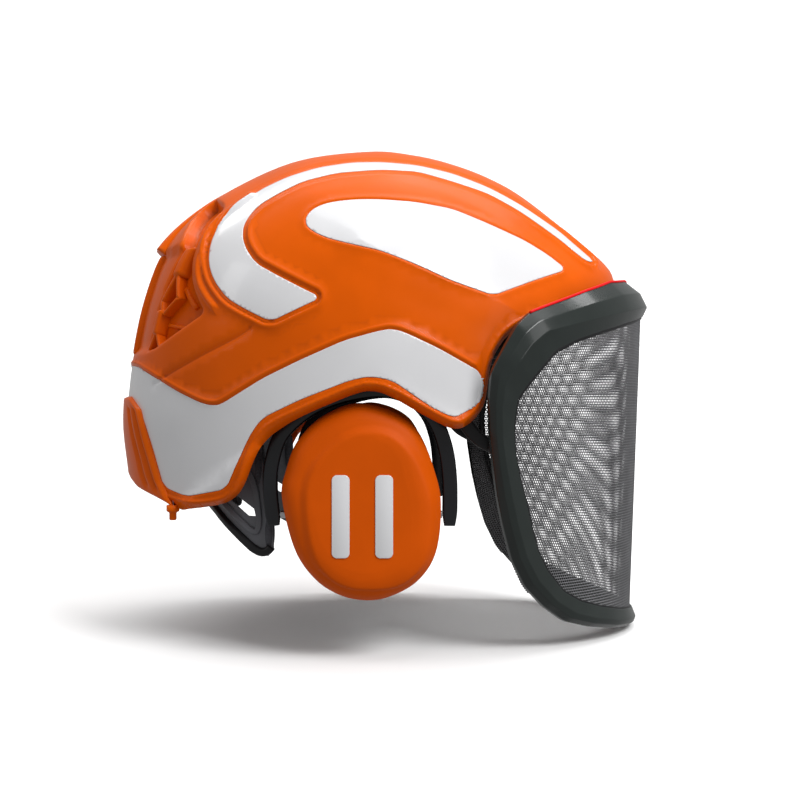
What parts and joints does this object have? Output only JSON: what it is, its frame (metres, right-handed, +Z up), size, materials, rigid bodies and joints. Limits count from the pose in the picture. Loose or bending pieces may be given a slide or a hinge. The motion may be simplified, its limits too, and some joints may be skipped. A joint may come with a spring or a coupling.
{
  "type": "forestry hard hat",
  "caption": "Forestry hard hat with a swing-up mesh visor, built-in ear muffs on sliding yokes, head harness and knob-adjusted neck cradle.",
  "frame": {"origin": "centre of the head opening, level with the lower edge of the shell over the ears", "axes": "+X towards the front of the helmet, +Y towards the wearer's left, +Z up"},
  "size_m": [0.3151, 0.231, 0.2836],
  "materials": {
    "shell_orange": "glossy moulded plastic",
    "cup_orange": "semi-gloss moulded plastic",
    "decal_white": "reflective film under clear gloss",
    "frame_black": "glossy black plastic",
    "harness_black": "matte moulded plastic",
    "yoke_black": "satin black plastic",
    "cradle_grey": "matte grey plastic",
    "mesh_steel": "black coated wire mesh",
    "seal_red": "satin rubber",
    "pad_fabric": "soft knit over foam",
    "webbing": "woven textile strap",
    "liner_foam": "moulded bead foam",
    "cushion_skin": "soft artificial leather",
    "ear_foam": "open cell foam",
    "pin_steel": "bright steel"
  },
  "bodies": {
    "helmet": {"outer_shell": "shell_orange", "rear_bumper": "shell_orange", "crown_spine": "shell_orange", "rear_louvres": "shell_orange", "cape_pegs": "shell_orange", "upper_panel_right": "decal_white", "upper_panel_left": "decal_white", "crown_stripe_right": "decal_white", "crown_stripe_left": "decal_white", "lower_band_right": "decal_white", "lower_band_left": "decal_white", "impact_liner": "liner_foam", "headband": "harness_black", "sweatband": "pad_fabric", "crown_straps": "webbing", "strap_hangers": "harness_black", "crown_pad": "pad_fabric", "visor_hinge_plate_right": "harness_black", "visor_hinge_plate_left": "harness_black", "visor_hinge_screws": "pin_steel", "ear_bracket_right": "harness_black", "ear_bracket_left": "harness_black", "ear_hinge_pins": "pin_steel"},
    "visor": {"visor_arm_right": "harness_black", "visor_arm_left": "harness_black", "visor_frame": "frame_black", "visor_mesh": "mesh_steel", "visor_retainer": "harness_black", "visor_seal": "seal_red"},
    "ear_arm_right": {"ear_arm_right": "yoke_black"},
    "ear_arm_left": {"ear_arm_left": "yoke_black"},
    "yoke_right": {"yoke_right": "yoke_black", "yoke_pins_right": "pin_steel"},
    "yoke_left": {"yoke_left": "yoke_black", "yoke_pins_left": "pin_steel"},
    "ear_cup_right": {"cup_housing_right": "harness_black", "cup_cap_right": "cup_orange", "ear_cushion_right": "cushion_skin", "cup_foam_right": "ear_foam", "reflectors_right": "decal_white"},
    "ear_cup_left": {"cup_housing_left": "harness_black", "cup_cap_left": "cup_orange", "ear_cushion_left": "cushion_skin", "cup_foam_left": "ear_foam", "reflectors_left": "decal_white"},
    "neck_cradle": {"neck_cradle": "cradle_grey", "neck_pad": "pad_fabric", "adjuster_housing": "harness_black"},
    "adjuster_knob": {"adjuster_knob": "harness_black"}
  },
  "joints": [
    {"name": "visor_swing", "type": "hinge", "parent": "helmet", "child": "visor", "pos_m": [0.02, 0, 0.022], "axis": [0, -1, 0], "range_deg": [0, 50]},
    {"name": "ear_swing_right", "type": "hinge", "parent": "helmet", "child": "ear_arm_right", "pos_m": [0, -0.1, 0.04], "axis": [-1, 0, 0], "range_deg": [0, 14]},
    {"name": "ear_swing_left", "type": "hinge", "parent": "helmet", "child": "ear_arm_left", "pos_m": [0, 0.1, 0.04], "axis": [1, 0, 0], "range_deg": [0, 14]},
    {"name": "ear_height_right", "type": "slide", "parent": "ear_arm_right", "child": "yoke_right", "axis": [0, 0, -1], "range_m": [0, 0.012]},
    {"name": "ear_height_left", "type": "slide", "parent": "ear_arm_left", "child": "yoke_left", "axis": [0, 0, -1], "range_m": [0, 0.012]},
    {"name": "cup_tilt_right", "type": "hinge", "parent": "yoke_right", "child": "ear_cup_right", "pos_m": [0, -0.0901, -0.06], "axis": [-1, 0, 0], "range_deg": [-4, 4]},
    {"name": "cup_tilt_left", "type": "hinge", "parent": "yoke_left", "child": "ear_cup_left", "pos_m": [0, 0.0901, -0.06], "axis": [1, 0, 0], "range_deg": [-4, 4]},
    {"name": "size_adjust", "type": "slide", "parent": "helmet", "child": "neck_cradle", "axis": [1, 0, 0], "range_m": [-0.01, 0.003]},
    {"name": "knob_turn", "type": "hinge", "parent": "neck_cradle", "child": "adjuster_knob", "pos_m": [-0.115, 0, -0.042], "axis": [1, 0, 0], "range_deg": [-110, 35]}
  ],
  "couplings": [
    {"joint": "knob_turn", "follows": "size_adjust", "rad_per_m": 180}
  ]
}
